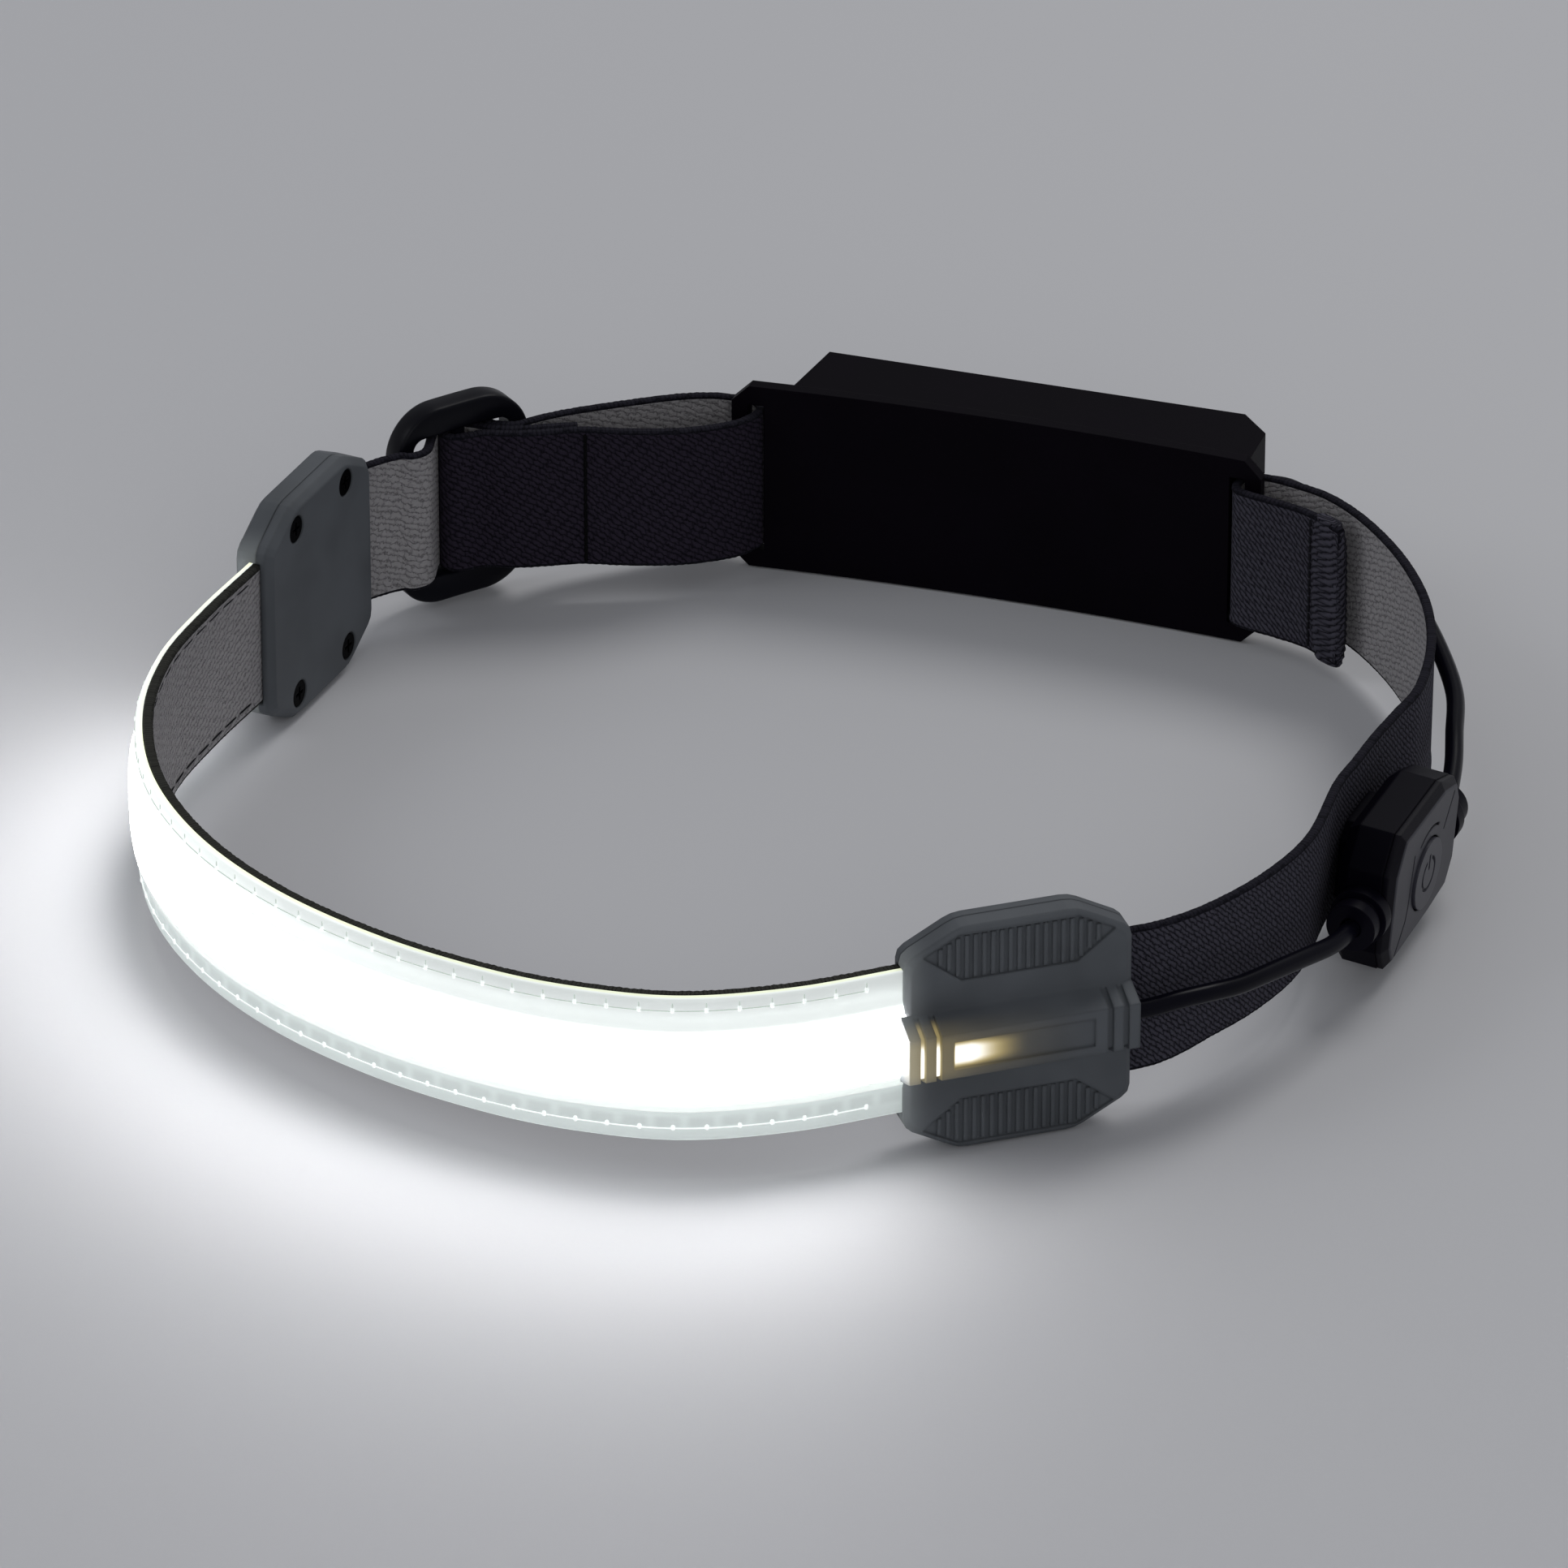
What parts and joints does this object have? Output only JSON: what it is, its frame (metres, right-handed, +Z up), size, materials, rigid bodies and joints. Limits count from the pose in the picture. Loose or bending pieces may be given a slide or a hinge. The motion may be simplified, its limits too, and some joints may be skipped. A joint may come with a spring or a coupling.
{
  "type": "headlamp",
  "caption": "Strip headlamp: an elastic loop with a light strip, two clamps, a band slider, a battery pack and a side switch joined by a cable.",
  "frame": {"origin": "centre of the footprint, on the table the loop stands on", "axes": "+Z up across the band, +Y from the light strip towards the battery pack, X across the loop"},
  "size_m": [0.1641, 0.1669, 0.031],
  "materials": {
    "band": "ribbed elastic knit",
    "sleeve": "translucent silicone",
    "light_board": "phosphor coat",
    "thread": "sewing thread",
    "clamp": "fine matte",
    "screw": "black",
    "slider": "satin",
    "battery_case": "fine matte",
    "cell": "foil pouch",
    "board": "solder mask",
    "socket": "plated",
    "rubber": "matte",
    "light_pipe": "clear",
    "switch_case": "matte",
    "switch_face": "satin",
    "cable": "gloss jacket"
  },
  "bodies": {
    "loop": {"front_band": "band", "light_sleeve": "sleeve", "light_board": "light_board", "sleeve_stitches": "thread", "right_clamp_shell": "clamp", "right_clamp_back": "clamp", "right_clamp_screws": "screw", "driver_board": "board", "left_clamp_shell": "clamp", "left_clamp_back": "clamp", "left_clamp_screws": "screw", "left_band": "band", "right_band": "band", "battery_tray": "battery_case", "battery_case": "battery_case", "battery_cell": "cell", "charge_board": "board", "charge_socket": "socket", "light_pipe": "light_pipe", "switch_case": "switch_case", "switch_cover": "switch_face", "switch_board": "board", "tact_switch": "socket", "near_gland": "rubber", "far_gland": "rubber", "switch_plate": "switch_case", "front_cable": "cable", "rear_cable": "cable"},
    "slider_body": {"slider": "slider"},
    "button": {"power_button": "switch_face"},
    "socket_flap": {"socket_cover": "rubber"}
  },
  "joints": [
    {"name": "slider_slide", "type": "slide", "parent": "loop", "child": "slider_body", "axis": [0.6428, 0.766, 0], "range_m": [-0.002, 0.008], "deforming": ["left_band"]},
    {"name": "button_press", "type": "slide", "parent": "loop", "child": "button", "axis": [-0.9938, 0.0782, 0.0785], "range_m": [0, 0.0004], "stiffness_N_per_m": 900},
    {"name": "flap_open", "type": "hinge", "parent": "loop", "child": "socket_flap", "pos_m": [-0.02455, 0.0781, 0.0194], "axis": [0, 1, 0], "range_deg": [0, 100]}
  ]
}
